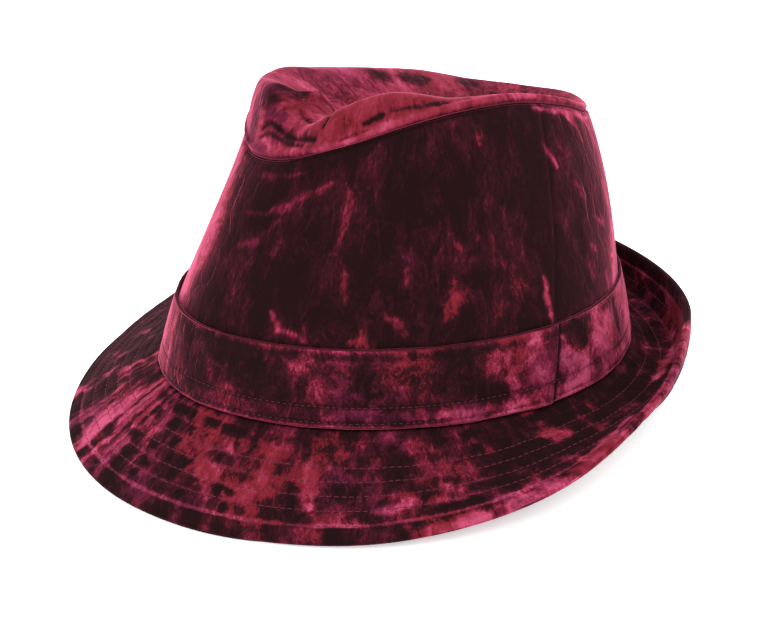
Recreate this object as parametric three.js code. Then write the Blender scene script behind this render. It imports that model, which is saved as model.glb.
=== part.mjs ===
// A stitched crushed-velvet trilby: a teardrop tip, a crown side, a folded hat band
// and a brim of two plies, each a thin shell, standing on its brim as it rests by itself.
// Millimetres. +X is the wearer's left, -Y the front, +Z up.
import * as THREE from 'three';
import { mergeVertices } from 'three/addons/utils/BufferGeometryUtils.js';

const degree = Math.PI / 180;
const columnCount = 64;
const columnStep = 2 * Math.PI / columnCount;

// Cloth walls, and the gaps left between a piece and the one it is sewn to.
const clothWall = 1.8;
const bandWall = 1.6;
const plyWall = 1.3;
const clearance = 0.3;
const seamGap = 0.65;
const plyGap = 0.4;

// Egg-shaped ovals of the band's outer face at its lower edge and at its folded upper edge.
// headShare is the band's share of the crown's height.
const bandFoot = { halfLength: 104.5, halfWidth: 86, shift: 1.5, egg: 0.10, height: 0 };
const bandHead = { halfLength: 97.5, halfWidth: 77, shift: 3, egg: 0.12, height: 28 };
const headShare = 0.26;

// The side stands this far above the brim, and has its rows at these shares of its height.
const footLift = 0.9;
const wallShares = [0, headShare / 3, 2 * headShare / 3, headShare, 0.4, 0.55, 0.7, 0.85, 1];

// Side and band are strips sewn end to end on the wearer's left, and the seam leans back
// by this angle on its way up to the rim.
const seamAngle = 19 * columnStep;
const seamLean = 3 * columnStep;

// The hat leans back a little when it stands, and its lower edge clears the floor by this much.
const restTilt = 4.1 * degree;
const restHeight = 16.9;

// Rim seam between tip and side, one row for each 22.5 degrees from the front: its place
// sideways and along the head, its height on the wearer's two sides, and how far the side
// stands out (or in) of a plain parabola halfway up.
const rimRows = [
  { angle: 0, out: 0, along: -62.5, left: 90.5, right: 90.5, belly: -2.2 },
  { angle: 22.5, out: 18.8, along: -56.5, left: 92.5, right: 95, belly: -1.8 },
  { angle: 45, out: 34.5, along: -40, left: 99, right: 102, belly: -2 },
  { angle: 67.5, out: 43.5, along: -18, left: 106.5, right: 104, belly: -1 },
  { angle: 90, out: 45, along: 7, left: 110, right: 101, belly: 0 },
  { angle: 112.5, out: 44, along: 32, left: 110, right: 98, belly: 0.5 },
  { angle: 135, out: 39, along: 56, left: 104.5, right: 93, belly: 1.5 },
  { angle: 157.5, out: 26, along: 76, left: 96, right: 91, belly: 2 },
  { angle: 180, out: 0, along: 87, left: 92, right: 92, belly: 2 },
];

// Tip inside the rim: how far in the rolled shoulder lies, how high it rises above the seam
// on the two sides, and the height of the dent's floor along the middle.
const tipRows = [
  { angle: 0, inset: 8.5, rollLeft: 24.5, rollRight: 24.5, floor: 112 },
  { angle: 22.5, inset: 6.5, rollLeft: 8, rollRight: 19, floor: 107 },
  { angle: 45, inset: 9, rollLeft: 12.5, rollRight: 11, floor: 97 },
  { angle: 67.5, inset: 12, rollLeft: 9.5, rollRight: 4.5, floor: 92 },
  { angle: 90, inset: 10, rollLeft: 1.5, rollRight: 4, floor: 91 },
  { angle: 112.5, inset: 6, rollLeft: 0, rollRight: 2, floor: 89 },
  { angle: 135, inset: 6, rollLeft: 0, rollRight: 1.5, floor: 87 },
  { angle: 157.5, inset: 6, rollLeft: 0.5, rollRight: 1, floor: 87 },
  { angle: 180, inset: 6, rollLeft: 1.5, rollRight: 1.5, floor: 88 },
];

// Two dimples where the crown is pinched in front, and the ends of the dent's middle line.
const pinch = { angle: 42 * degree, spread: 18 * degree, depth: 3.5, lean: 3 };
const dentFront = -32;
const dentBack = 66;

// Upper face of the brim across its width: edgeOut and edgeUp place the edge from the band's
// foot, bendOut and bendUp the point that its curve leans to.
const brimRows = [
  { angle: 0, edgeOut: 39, edgeUp: -25, bendOut: 20, bendUp: -11 },
  { angle: 22.5, edgeOut: 40, edgeUp: -24.2, bendOut: 20.5, bendUp: -10.5 },
  { angle: 45, edgeOut: 42.8, edgeUp: -21.8, bendOut: 22, bendUp: -10 },
  { angle: 67.5, edgeOut: 46.5, edgeUp: -16, bendOut: 25, bendUp: -9 },
  { angle: 90, edgeOut: 46.5, edgeUp: -3.2, bendOut: 26, bendUp: -8 },
  { angle: 112.5, edgeOut: 35.5, edgeUp: 13, bendOut: 27, bendUp: -9 },
  { angle: 135, edgeOut: 22.5, edgeUp: 16.5, bendOut: 25, bendUp: -15 },
  { angle: 157.5, edgeOut: 20.5, edgeUp: 14, bendOut: 23, bendUp: -19.5 },
  { angle: 180, edgeOut: 20.5, edgeUp: 12.5, bendOut: 22.5, bendUp: -20.5 },
];

// Width of the brim under the band and wall, and the places of its rows from edge to band.
const seatWidth = 5;
const brimShares = [1, 0.92, 0.8, 0.6, 0.45, 0.3, 0];

// Smooth curve through four values, from the second to the third.
function smooth(a, b, c, d, t) {
  return b + 0.5 * t * (c - a + t * (2 * a - 5 * b + 4 * c - d + t * (3 * (b - c) + d - a)));
}

// Value of one column at an angle, by a smooth curve through the rows and their mirror images.
function tableValue(rows, key, theta, mirror = 1) {
  const last = rows.length - 1;
  const spot = Math.abs(Math.atan2(Math.sin(theta), Math.cos(theta))) / Math.PI * last;
  const cell = Math.min(Math.floor(spot), last - 1);
  const t = spot - cell;
  const at = (i) => {
    if (i < 0) return mirror * rows[-i][key];
    if (i > last) return mirror * rows[2 * last - i][key];
    return rows[i][key];
  };
  return smooth(at(cell - 1), at(cell), at(cell + 1), at(cell + 2), t);
}

// Egg-shaped oval with its narrow end in front.
function ovalPoint(oval, theta, inset = 0) {
  const x = oval.halfWidth * Math.sin(theta) * (1 - oval.egg * Math.cos(theta));
  const y = oval.shift - oval.halfLength * Math.cos(theta);
  const normal = ovalNormal(oval, theta);
  return new THREE.Vector3(x - normal.x * inset, y - normal.y * inset, oval.height);
}

function ovalNormal(oval, theta) {
  const dx = oval.halfWidth * (Math.cos(theta) - oval.egg * Math.cos(2 * theta));
  const dy = oval.halfLength * Math.sin(theta);
  return new THREE.Vector3(dy, -dx, 0).normalize();
}

// Rim seam: the line where the tip is sewn to the side.
function rimPoint(theta) {
  const side = Math.sin(theta) >= 0 ? 1 : -1;
  const x = side * tableValue(rimRows, 'out', theta, -1);
  const key = side > 0 ? 'left' : 'right';
  return new THREE.Vector3(x, tableValue(rimRows, 'along', theta), tableValue(rimRows, key, theta));
}

function rimInward(theta) {
  const step = 0.02;
  const ahead = rimPoint(theta + step).sub(rimPoint(theta - step));
  return new THREE.Vector3(-ahead.y, ahead.x, 0).normalize();
}

// Outer face of the crown side at a share of its height: a parabola through foot, band head and rim.
function sidePoint(theta, share) {
  const foot = ovalPoint(bandFoot, theta, bandWall + clearance);
  const head = ovalPoint(bandHead, theta, bandWall + clearance);
  const rim = rimPoint(theta);
  const atFoot = (share - headShare) * (share - 1) / headShare;
  const atHead = share * (1 - share) / (headShare * (1 - headShare));
  const atRim = share * (share - headShare) / (1 - headShare);
  const upper = Math.max(0, (share - headShare) / (1 - headShare));
  const turn = Math.abs(Math.atan2(Math.sin(theta), Math.cos(theta)));
  const near = Math.exp(-(((turn - pinch.angle) / pinch.spread) ** 2));
  const high = 4 * share ** pinch.lean * (1 - share ** pinch.lean);
  const belly = 4 * upper * (1 - upper) * tableValue(rimRows, 'belly', theta) - pinch.depth * near * high;
  foot.multiplyScalar(atFoot).addScaledVector(head, atHead).addScaledVector(rim, atRim);
  return foot.addScaledVector(ovalNormal(bandHead, theta), belly);
}

// Direction in which the side comes up to the seam.
function sideRise(theta) {
  return rimPoint(theta).sub(sidePoint(theta, 0.9)).normalize();
}

// Shares of the way in at which the tip has its shoulder and the foot of the dent's wall, the
// pull of the upright cloth at the seam, and the upright lip above it.
const crestShare = 0.3;
const wallShare = 0.72;
const seamRise = 9;
const seamLip = 1.0;

// Wall of the dent: how far it reaches from shoulder to middle line, and what height is left.
const wallReach = 0.6;
const wallLeft = 0.22;

// Outer face of the tip from the seam (0) over the shoulder and down to the middle of the dent (1).
function tipPoint(theta, share) {
  const seam = rimPoint(theta).addScaledVector(sideRise(theta), seamGap + seamLip);
  const crest = seam.clone().addScaledVector(rimInward(theta), tableValue(tipRows, 'inset', theta));
  crest.z += tableValue(tipRows, Math.sin(theta) >= 0 ? 'rollLeft' : 'rollRight', theta);
  const middle = (dentFront + dentBack) / 2 - (dentBack - dentFront) / 2 * Math.cos(theta);
  const spine = new THREE.Vector3(0, middle, tableValue(tipRows, 'floor', theta));
  const wall = crest.clone().lerp(spine, wallReach);
  wall.z = spine.z + wallLeft * (crest.z - spine.z);
  const before = crest.clone().addScaledVector(sideRise(theta), -2 * seamRise);
  const beyond = spine.clone();
  beyond.x = -wall.x;
  const keys = [before, seam, crest, wall, spine, beyond];
  const stops = [0, crestShare, wallShare, 1];
  const cell = share < crestShare ? 0 : share < wallShare ? 1 : 2;
  const t = (share - stops[cell]) / (stops[cell + 1] - stops[cell]);
  const near = keys.slice(cell, cell + 4);
  const along = (axis) => smooth(...near.map((key) => key[axis]), t);
  return new THREE.Vector3(along('x'), along('y'), along('z'));
}

// Upper face of the brim: a bend from the band's foot (0) to the edge (1).
function brimPoint(theta, share) {
  const foot = ovalPoint(bandFoot, theta);
  const outward = ovalNormal(bandFoot, theta);
  const bend = 2 * share * (1 - share);
  const reach = share * share;
  const read = (key) => tableValue(brimRows, key, theta);
  const out = bend * read('bendOut') + reach * read('edgeOut');
  const up = bend * read('bendUp') + reach * read('edgeUp');
  return foot.addScaledVector(outward, out).add(new THREE.Vector3(0, 0, up));
}

// Turns a point of the level hat to the pose in which it stands on the floor.
function standing(point) {
  const turned = point.clone().applyAxisAngle(new THREE.Vector3(1, 0, 0), -restTilt);
  turned.z += restHeight;
  return turned;
}

// Sheet of triangles over a list of angles and a list of rows, each row a function of the angle.
function sheet(angles, rows, closed) {
  const positions = [];
  for (const row of rows) {
    for (const theta of angles) {
      positions.push(...standing(row(theta)).toArray());
    }
  }
  const width = angles.length;
  const cells = closed ? width : width - 1;
  const index = [];
  for (let r = 0; r + 1 < rows.length; r += 1) {
    for (let c = 0; c < cells; c += 1) {
      const here = r * width + c;
      const next = r * width + (c + 1) % width;
      index.push(here, next, next + width, here, next + width, here + width);
    }
  }
  const geometry = new THREE.BufferGeometry();
  geometry.setAttribute('position', new THREE.Float32BufferAttribute(positions, 3));
  geometry.setIndex(index);
  return geometry;
}

// Closed shell between two offsets of a sheet, both measured inward from its outer face.
function shell(open, nearFace, farFace, settle = (point) => point) {
  const base = mergeVertices(open, 0.01);
  base.computeVertexNormals();
  const spots = base.attributes.position;
  const normals = base.attributes.normal;
  const positions = [];
  for (const depth of [nearFace, farFace]) {
    for (let i = 0; i < spots.count; i += 1) {
      const point = new THREE.Vector3().fromBufferAttribute(spots, i);
      point.addScaledVector(new THREE.Vector3().fromBufferAttribute(normals, i), -depth);
      positions.push(...settle(point, depth).toArray());
    }
  }
  const faces = base.index.array;
  const index = [];
  const edges = new Map();
  for (let f = 0; f < faces.length; f += 3) {
    const [a, b, c] = [faces[f], faces[f + 1], faces[f + 2]];
    if (a === b || b === c || c === a) continue;
    index.push(a, b, c, a + spots.count, c + spots.count, b + spots.count);
    for (const [p, q] of [[a, b], [b, c], [c, a]]) {
      if (!edges.delete(`${q} ${p}`)) edges.set(`${p} ${q}`, [p, q]);
    }
  }
  for (const [p, q] of edges.values()) {
    index.push(q, p, p + spots.count, q, p + spots.count, q + spots.count);
  }
  const geometry = new THREE.BufferGeometry();
  geometry.setAttribute('position', new THREE.Float32BufferAttribute(positions, 3));
  geometry.setIndex(index);
  return geometry;
}

const roundAngles = Array.from({ length: columnCount }, (_, i) => i * columnStep);

// Angles of a strip that is sewn end to end, with the clearance between its ends.
const endAngle = clearance / 2 / bandFoot.halfWidth;
const stripAngles = [
  seamAngle + endAngle,
  ...roundAngles.slice(1).map((angle) => seamAngle + angle),
  seamAngle + 2 * Math.PI - endAngle,
];

function makeTip() {
  const lip = (theta) => rimPoint(theta).addScaledVector(sideRise(theta), seamGap);
  const shares = [0, 0.15, crestShare, 0.5, wallShare, 0.87, 1];
  const rows = [lip, ...shares.map((share) => (theta) => tipPoint(theta, share))];
  return shell(sheet(roundAngles, rows, true), 0, clothWall);
}

// Rows of the crown side up to a share of its height; the first stands just clear of the brim.
function sideRows(topShare) {
  return wallShares.filter((share) => share <= topShare).map((share) => (theta) => {
    const point = sidePoint(theta + seamLean * share, share);
    point.z += footLift * (1 - share);
    return point;
  });
}

function makeSide() {
  return shell(sheet(stripAngles, sideRows(1), false), 0, clothWall);
}

// The band lies on the side, so its shell is offset outward from the same rows.
function makeBand() {
  const strip = sheet(stripAngles, sideRows(headShare), false);
  return shell(strip, -(bandWall + clearance), -clearance);
}

// One ply of the brim, flattened where it lies on the floor.
function makePly(topFace, bottomFace) {
  const total = 2 * plyWall + plyGap;
  const seat = (theta) => ovalPoint(bandFoot, theta, seatWidth);
  const rows = [...brimShares.map((share) => (theta) => brimPoint(theta, share)), seat];
  const settle = (point, depth) => {
    point.z = Math.max(point.z, total - depth);
    return point;
  };
  return shell(sheet(roundAngles, rows, true), topFace, bottomFace, settle);
}

function velvet(color) {
  return new THREE.MeshStandardMaterial({ color, roughness: 0.75, metalness: 0 });
}

function piece(name, geometry, color) {
  const mesh = new THREE.Mesh(geometry, velvet(color));
  mesh.name = name;
  return mesh;
}

const fedora = new THREE.Group();
fedora.add(piece('crown_tip', makeTip(), 0x8c2148));
fedora.add(piece('crown_side', makeSide(), 0x4a1029));
fedora.add(piece('hat_band', makeBand(), 0x6b1a38));
fedora.add(piece('brim_upper', makePly(0, plyWall), 0x5c1530));
fedora.add(piece('brim_under', makePly(plyWall + plyGap, 2 * plyWall + plyGap), 0x5c1530));

// Origin under the middle of the whole hat.
const span = new THREE.Box3().setFromObject(fedora);
const middle = span.getCenter(new THREE.Vector3());
fedora.position.set(-middle.x, -middle.y, -span.min.z);

export default fedora;
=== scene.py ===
import itertools
import math
import bpy
import numpy as np
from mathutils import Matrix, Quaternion, Vector


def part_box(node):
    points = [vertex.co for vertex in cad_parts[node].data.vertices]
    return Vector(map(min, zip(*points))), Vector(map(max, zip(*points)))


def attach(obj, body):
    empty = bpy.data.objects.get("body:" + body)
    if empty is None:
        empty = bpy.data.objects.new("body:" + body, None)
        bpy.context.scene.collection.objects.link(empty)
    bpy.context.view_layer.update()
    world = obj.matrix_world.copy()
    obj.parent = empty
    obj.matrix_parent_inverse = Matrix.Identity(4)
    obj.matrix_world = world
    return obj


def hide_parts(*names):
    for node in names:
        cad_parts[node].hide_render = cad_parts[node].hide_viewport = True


# A crushed-velvet trilby: tip, side, band and two brim plies as sewn shells, with their stitching.
# Angles run round the hat from the front (0) over the wearer's left (90) to the back (180).
# Shapes are worked out in millimetres and put into the meshes in metres.

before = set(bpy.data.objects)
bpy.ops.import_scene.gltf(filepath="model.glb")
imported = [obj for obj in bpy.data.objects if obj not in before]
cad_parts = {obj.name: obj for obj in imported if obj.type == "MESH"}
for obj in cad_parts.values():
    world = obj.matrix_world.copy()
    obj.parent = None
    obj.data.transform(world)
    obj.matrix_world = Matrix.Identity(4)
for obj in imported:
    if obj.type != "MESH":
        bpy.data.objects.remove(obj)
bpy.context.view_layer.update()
scene = bpy.context.scene
millimetre = 0.001


def table(columns, rows):
    # rows of values under named columns, and a row may leave out the last ones
    return [dict(zip(columns.split(), row)) for row in rows]


viewpoint = {
    "azimuth": 66.12,       # degrees round the hat from its front
    "elevation": 27.79,
    "roll": -4.17,
    "distance": 0.6,        # metres from the target
    "target": (-0.0015, 0.0043, 0.0226),
    "lens": 64.65,          # millimetres on a 36 mm sensor
}


def newObject(data, place=(0, 0, 0), turn=(1, 0, 0, 0)):
    # an object around its data, linked to the scene
    made = bpy.data.objects.new(data.name, data)
    made.location, made.rotation_mode, made.rotation_quaternion = place, "QUATERNION", turn
    scene.collection.objects.link(made)
    return made


def newMaterial(name, constants):
    # a material whose shader has its constants on its own sockets
    material = bpy.data.materials.new(name)
    material.use_nodes = True
    shader = material.node_tree.nodes["Principled BSDF"]
    for socket, value in constants.items():
        shader.inputs[socket].default_value = value
    return material, material.node_tree, shader


def makeCamera(view):
    # the camera stands back from its target along azimuth and elevation, then rolls about its view
    azimuth, elevation = math.radians(view["azimuth"]), math.radians(view["elevation"])
    back = Vector((math.sin(azimuth) * math.cos(elevation),
                   -math.cos(azimuth) * math.cos(elevation), math.sin(elevation)))
    data = bpy.data.cameras.new("productCamera")
    data.lens = view["lens"]
    data.sensor_width = 36
    data.clip_start, data.clip_end = 0.01, 20
    turn = (-back).to_track_quat("-Z", "Y") @ Quaternion((0, 0, 1), math.radians(view["roll"]))
    scene.camera = newObject(data, Vector(view["target"]) + back * view["distance"], turn)


studio = {
    "worldLight": 1.7,
    "floorTone": (0.97, 0.97, 0.97, 1),
    "floorGlow": 0.36,      # lit paper, so that only the contact keeps a shadow
    "floorSize": 12,        # metres
    # places and widths in metres, power in watts
    "lamps": table("name place power width", [
        ("topLight", (-0.1, -0.1, 2.0), 17, 2.6),
        ("frontLight", (-0.9, -1.8, 1.2), 8, 1.6),
        ("backLight", (0.6, 1.9, 1.1), 8, 1.6),
    ]),
    "aim": (0, 0, 0.05),
}


def makeStudio(style):
    # a pale floor and sky with three soft round lamps aimed at the hat
    world = bpy.data.worlds.new("paleRoom")
    world.use_nodes = True
    sky = world.node_tree.nodes["Background"]
    sky.inputs["Color"].default_value = (1, 1, 1, 1)
    sky.inputs["Strength"].default_value = style["worldLight"]
    scene.world = world
    for lamp in style["lamps"]:
        data = bpy.data.lights.new(lamp["name"], "AREA")
        data.shape, data.size, data.energy = "DISK", lamp["width"], lamp["power"]
        aim = Vector(style["aim"]) - Vector(lamp["place"])
        newObject(data, lamp["place"], aim.to_track_quat("-Z", "Y"))
    half = style["floorSize"] / 2
    mesh = bpy.data.meshes.new("paleFloor")
    mesh.from_pydata([(-half, -half, 0), (half, -half, 0), (half, half, 0), (-half, half, 0)],
                     [], [(0, 1, 2, 3)])
    mesh.materials.append(newMaterial("paleFloor", {
        "Base Color": style["floorTone"], "Roughness": 0.9, "Specular IOR Level": 0.1,
        "Emission Color": (1, 1, 1, 1), "Emission Strength": style["floorGlow"],
    })[0])
    floor = newObject(mesh)
    scene.view_settings.view_transform = "Standard"
    scene.view_settings.exposure = 0.0


makeCamera(viewpoint)
makeStudio(studio)
print("camera and studio are set")

# Oval outer faces of the band at its lower edge and at its folded upper edge.
bandFoot = {"halfLength": 104.5, "halfWidth": 86, "shift": 1.5, "egg": 0.10, "height": 0}
bandHead = {"halfLength": 97.5, "halfWidth": 77, "shift": 3, "egg": 0.12, "height": 28}

hatShape = {
    "headShare": 0.26,      # the band's share of the crown's height
    "bandSpace": 1.9,       # band and the gap behind it
    "footLift": 1.25,       # foot of side and band above the brim
    "seamLip": 1.3,         # foot of the tip above the seam
    "seamRise": 1.65,       # where the tip's curve starts above the seam
    "dentMiddle": 17,       # the dent's middle line: its centre along the head
    "dentReach": 49,        # and its half length
    "seamAngle": 104.4,     # where side and band are sewn end to end
    "seamLean": 16.875,     # how far that seam leans back on its way up
    "restTilt": 4.1,        # the hat leans back on its brim
    "restHeight": 16.9,
    "plyTotal": 3.0,        # both plies of the brim and the gap between
    "seatWidth": 5,         # brim under the band
}

# Seam between tip and side: place sideways and along the head, height on the wearer's left and
# right, and how far the side stands out halfway up.
rimRows = table("angle out along left right belly", [
    (0, 0, -62.5, 90.5, 90.5, -2.2),
    (22.5, 18.8, -56.5, 92.5, 95, -1.8),
    (45, 34.5, -40, 99, 102, -2),
    (67.5, 43.5, -18, 106.5, 104, -1),
    (90, 45, 7, 110, 101, 0),
    (112.5, 44, 32, 110, 98, 0.5),
    (135, 39, 56, 104.5, 93, 1.5),
    (157.5, 26, 76, 96, 91, 2),
    (180, 0, 87, 92, 92, 2),
])

# Tip inside that seam: how far in the shoulder lies, its rise on both sides, the dent's floor.
tipRows = table("angle inset rollLeft rollRight floor", [
    (0, 8.5, 24.5, 24.5, 112),
    (22.5, 6.5, 8, 19, 107),
    (45, 9, 12.5, 11, 97),
    (67.5, 12, 9.5, 4.5, 92),
    (90, 10, 1.5, 4, 91),
    (112.5, 6, 0, 2, 89),
    (135, 6, 0, 1.5, 87),
    (157.5, 6, 0.5, 1, 87),
    (180, 6, 1.5, 1.5, 88),
])

# Upper face of the brim: its edge and the point that its curve leans to, from the band's foot.
brimRows = table("angle edgeOut edgeUp bendOut bendUp", [
    (0, 39, -25, 20, -11),
    (22.5, 40, -24.2, 20.5, -10.5),
    (45, 42.8, -21.8, 22, -10),
    (67.5, 46.5, -16, 25, -9),
    (90, 46.5, -3.2, 26, -8),
    (112.5, 35.5, 13, 27, -9),
    (135, 22.5, 16.5, 25, -15),
    (157.5, 20.5, 14, 23, -19.5),
    (180, 20.5, 12.5, 22.5, -20.5),
])


def blendFour(a, b, c, d, t):
    # smooth curve through four values, from the second to the third
    return b + 0.5 * t * (c - a + t * (2 * a - 5 * b + 4 * c - d + t * (3 * (b - c) + d - a)))


def readTable(rows, column, theta, mirror=1):
    # one column as a smooth curve all round, the far half being the near half's mirror image
    half = np.array([row[column] for row in rows], float)
    whole = np.concatenate([half, mirror * half[-2:0:-1]])
    spot = np.asarray(theta) / (2 * np.pi) * len(whole)
    cell = np.floor(spot).astype(int)
    near = [whole[(cell + step) % len(whole)] for step in (-1, 0, 1, 2)]
    return blendFour(*near, spot - cell)


def stack(x, y, z):
    # x, y and z side by side in a last axis, spread to one shape
    return np.stack(np.broadcast_arrays(x, y, z), axis=-1).astype(float)


def unit(vectors):
    # vectors divided by their length
    length = np.linalg.norm(vectors, axis=-1, keepdims=True)
    return vectors / np.maximum(length, 1e-9)


def ovalNormal(oval, theta):
    # the oval's tangent turned outwards by a right angle
    along = oval["halfWidth"] * (np.cos(theta) - oval["egg"] * np.cos(2 * theta))
    return unit(stack(oval["halfLength"] * np.sin(theta), -along, 0 * theta))


def ovalPoint(oval, theta, inset=0):
    # an ellipse whose width shrinks towards the front, moved inwards along its normal
    x = oval["halfWidth"] * np.sin(theta) * (1 - oval["egg"] * np.cos(theta))
    y = oval["shift"] - oval["halfLength"] * np.cos(theta)
    return stack(x, y, oval["height"]) - ovalNormal(oval, theta) * inset


def rimPoint(theta):
    # the seam between tip and side, its height read on the left or on the right
    left, right = (readTable(rimRows, name, theta) for name in ("left", "right"))
    height = np.where(np.sin(theta) >= 0, left, right)
    return stack(readTable(rimRows, "out", theta, -1), readTable(rimRows, "along", theta), height)


def rimInward(theta):
    # the seam's heading seen from above, turned inwards by a right angle
    ahead = rimPoint(theta + 0.02) - rimPoint(theta - 0.02)
    return unit(stack(-ahead[..., 1], ahead[..., 0], 0))


# Two dimples where the crown is pinched in front, at this angle on both sides.
pinch = {"angle": 42, "spread": 18, "depth": 3.5, "lean": 3}


def sidePoint(theta, share):
    # a parabola through foot, band head and rim, with a belly and the two pinches in front
    headShare = hatShape["headShare"]
    atFoot = (share - headShare) * (share - 1) / headShare
    atHead = share * (1 - share) / (headShare * (1 - headShare))
    atRim = share * (share - headShare) / (1 - headShare)
    upper = np.maximum(0, (share - headShare) / (1 - headShare))
    turn = np.degrees(np.abs(np.arctan2(np.sin(theta), np.cos(theta))))
    near = np.exp(-((turn - pinch["angle"]) / pinch["spread"]) ** 2)
    high = 4 * share ** pinch["lean"] * (1 - share ** pinch["lean"])
    belly = 4 * upper * (1 - upper) * readTable(rimRows, "belly", theta) - pinch["depth"] * near * high
    foot = ovalPoint(bandFoot, theta, hatShape["bandSpace"])
    head = ovalPoint(bandHead, theta, hatShape["bandSpace"])
    weights = [np.asarray(w)[..., None] for w in (atFoot, atHead, atRim, belly)]
    return (foot * weights[0] + head * weights[1] + rimPoint(theta) * weights[2]
            + ovalNormal(bandHead, theta) * weights[3])


def sideRise(theta):
    # direction in which the side comes up to the seam over its last tenth
    return unit(rimPoint(theta) - sidePoint(theta, np.full_like(theta, 0.9)))


# The tip's curve: its reach below the seam, where the dent's wall lies between shoulder and
# middle line and how high, and the shares of the way at which it passes its points.
tipCurve = {"lead": 18, "wallPlace": 0.6, "wallRise": 0.22, "stops": (0, 0.3, 0.72, 1)}


def tipPoint(theta, share):
    # a smooth curve from the seam over the shoulder and down the dent's wall to its middle line
    seam = rimPoint(theta) + sideRise(theta) * hatShape["seamRise"]
    crest = seam + rimInward(theta) * readTable(tipRows, "inset", theta)[..., None]
    rolls = [readTable(tipRows, name, theta) for name in ("rollLeft", "rollRight")]
    crest[..., 2] += np.where(np.sin(theta) >= 0, rolls[0], rolls[1])
    along = hatShape["dentMiddle"] - hatShape["dentReach"] * np.cos(theta)
    spine = stack(0 * theta, along, readTable(tipRows, "floor", theta))
    wall = crest + (spine - crest) * tipCurve["wallPlace"]
    wall[..., 2] = spine[..., 2] + tipCurve["wallRise"] * (crest[..., 2] - spine[..., 2])
    before = crest - sideRise(theta) * tipCurve["lead"]
    beyond = spine.copy()
    beyond[..., 0] = -wall[..., 0]
    keys, stops = [before, seam, crest, wall, spine, beyond], tipCurve["stops"]
    points = np.zeros_like(seam + np.asarray(share)[..., None])
    for cell in range(3):
        low, high = stops[cell], stops[cell + 1]
        t = (np.asarray(share) - low) / (high - low)
        inside = (t >= 0) & ((t < 1) | (cell == 2))
        curve = blendFour(*keys[cell:cell + 4], t[..., None])
        points = np.where(inside[..., None], curve, points)
    return points


def brimPoint(theta, share):
    # a bend from the band's foot (0) through the leaning point to the edge (1)
    bend, reach = 2 * share * (1 - share), share * share
    out, up = (bend * readTable(brimRows, "bend" + way, theta)
               + reach * readTable(brimRows, "edge" + way, theta) for way in ("Out", "Up"))
    return ovalPoint(bandFoot, theta) + ovalNormal(bandFoot, theta) * out[..., None] + stack(0, 0, up)


def standing(points):
    # the level hat leans back about the x axis and is lifted until it stands on its brim
    tilt = math.radians(hatShape["restTilt"])
    x, y, z = np.moveaxis(points, -1, 0)
    lean = z * math.cos(tilt) - y * math.sin(tilt) + hatShape["restHeight"]
    return stack(x, y * math.cos(tilt) + z * math.sin(tilt), lean)


def fitToFrame():
    # the crown side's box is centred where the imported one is
    theta, share = np.meshgrid(np.linspace(0, 2 * np.pi, 512), np.linspace(0, 1, 24))
    side = standing(sidePoint(theta, share)).reshape(-1, 3)
    middle = (side.min(0) + side.max(0)) / 2
    low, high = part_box("crown_side")
    wanted = np.array((low + high) / 2) / millimetre
    print("hat is moved by", (wanted - middle).round(2))
    return np.array([wanted[0] - middle[0], wanted[1] - middle[1], 0])


hatShift = fitToFrame()


def softNoise(points, seed):
    # random heights at whole-number points, blended smoothly in between, from -1 to 1
    heights = np.random.default_rng(seed).uniform(-1, 1, 4096)
    cell = np.floor(points).astype(np.int64)
    part = points - cell
    part = part * part * (3 - 2 * part)
    total = np.zeros(points.shape[:-1])
    for corner in itertools.product((0, 1), repeat=3):
        spot = cell + np.array(corner)
        key = (spot[..., 0] * 73856093) ^ (spot[..., 1] * 19349663) ^ (spot[..., 2] * 83492791)
        weight = np.prod(np.where(corner, part, 1 - part), axis=-1)
        total += weight * heights[key & 4095]
    return total


def layeredNoise(points, seed, layers=3):
    # soft noise added to itself at twice the scale and half the height, layer by layer
    heights = [0.5 ** step for step in range(layers)]
    layer = [softNoise(points * 2 ** step, seed + step) for step in range(layers)]
    return sum(part * height for part, height in zip(layer, heights)) / sum(heights)


def bump(distance, width):
    # a bell of height 1, which falls to 1 / e at the width
    return np.exp(-(distance / width) ** 2)


def arcAlong(points):
    # length of the way up each column of a grid
    steps = np.linalg.norm(np.diff(points, axis=0), axis=-1)
    return np.concatenate([np.zeros((1, points.shape[1])), np.cumsum(steps, axis=0)])


def gridNormals(points, closed=True):
    # cross product of the way round and the way up
    if closed:
        around = np.roll(points, -1, axis=1) - np.roll(points, 1, axis=1)
    else:
        around = np.gradient(points, axis=1)
    return unit(np.cross(around, np.gradient(points, axis=0)))


def ringFlow(theta, height, radius):
    # a sheet's own coordinates, rolled round a drum so that they meet without a break
    return stack(radius * np.sin(theta), -radius * np.cos(theta), height) * millimetre


def gridFaces(rowCount, columnCount, closedRows, closedColumns):
    # one four-sided face for each cell, its normal along the way round crossed with the way up
    rows = np.arange(rowCount if closedRows else rowCount - 1)[:, None]
    columns = np.arange(columnCount if closedColumns else columnCount - 1)[None, :]
    above, after = (rows + 1) % rowCount, (columns + 1) % columnCount
    corners = [rows * columnCount + columns, rows * columnCount + after,
               above * columnCount + after, above * columnCount + columns]
    return np.stack(np.broadcast_arrays(*corners), axis=-1).reshape(-1, 4)


def roundEdge(start, end, outward, count=4):
    # half a circle from one wall face to the other, bulging along outward
    middle, half = (start + end) / 2, (start - end) / 2
    radius = np.linalg.norm(half, axis=-1, keepdims=True)
    turns = np.linspace(0, np.pi, count + 2)[1:-1]
    return np.stack([middle + half * np.cos(a) + outward * radius * np.sin(a) for a in turns])


def padRows(values, count, atStart=False):
    # blank rows after the given ones or before them
    blank = np.zeros((count,) + values.shape[1:])
    return np.concatenate([blank, values] if atStart else [values, blank])


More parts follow.
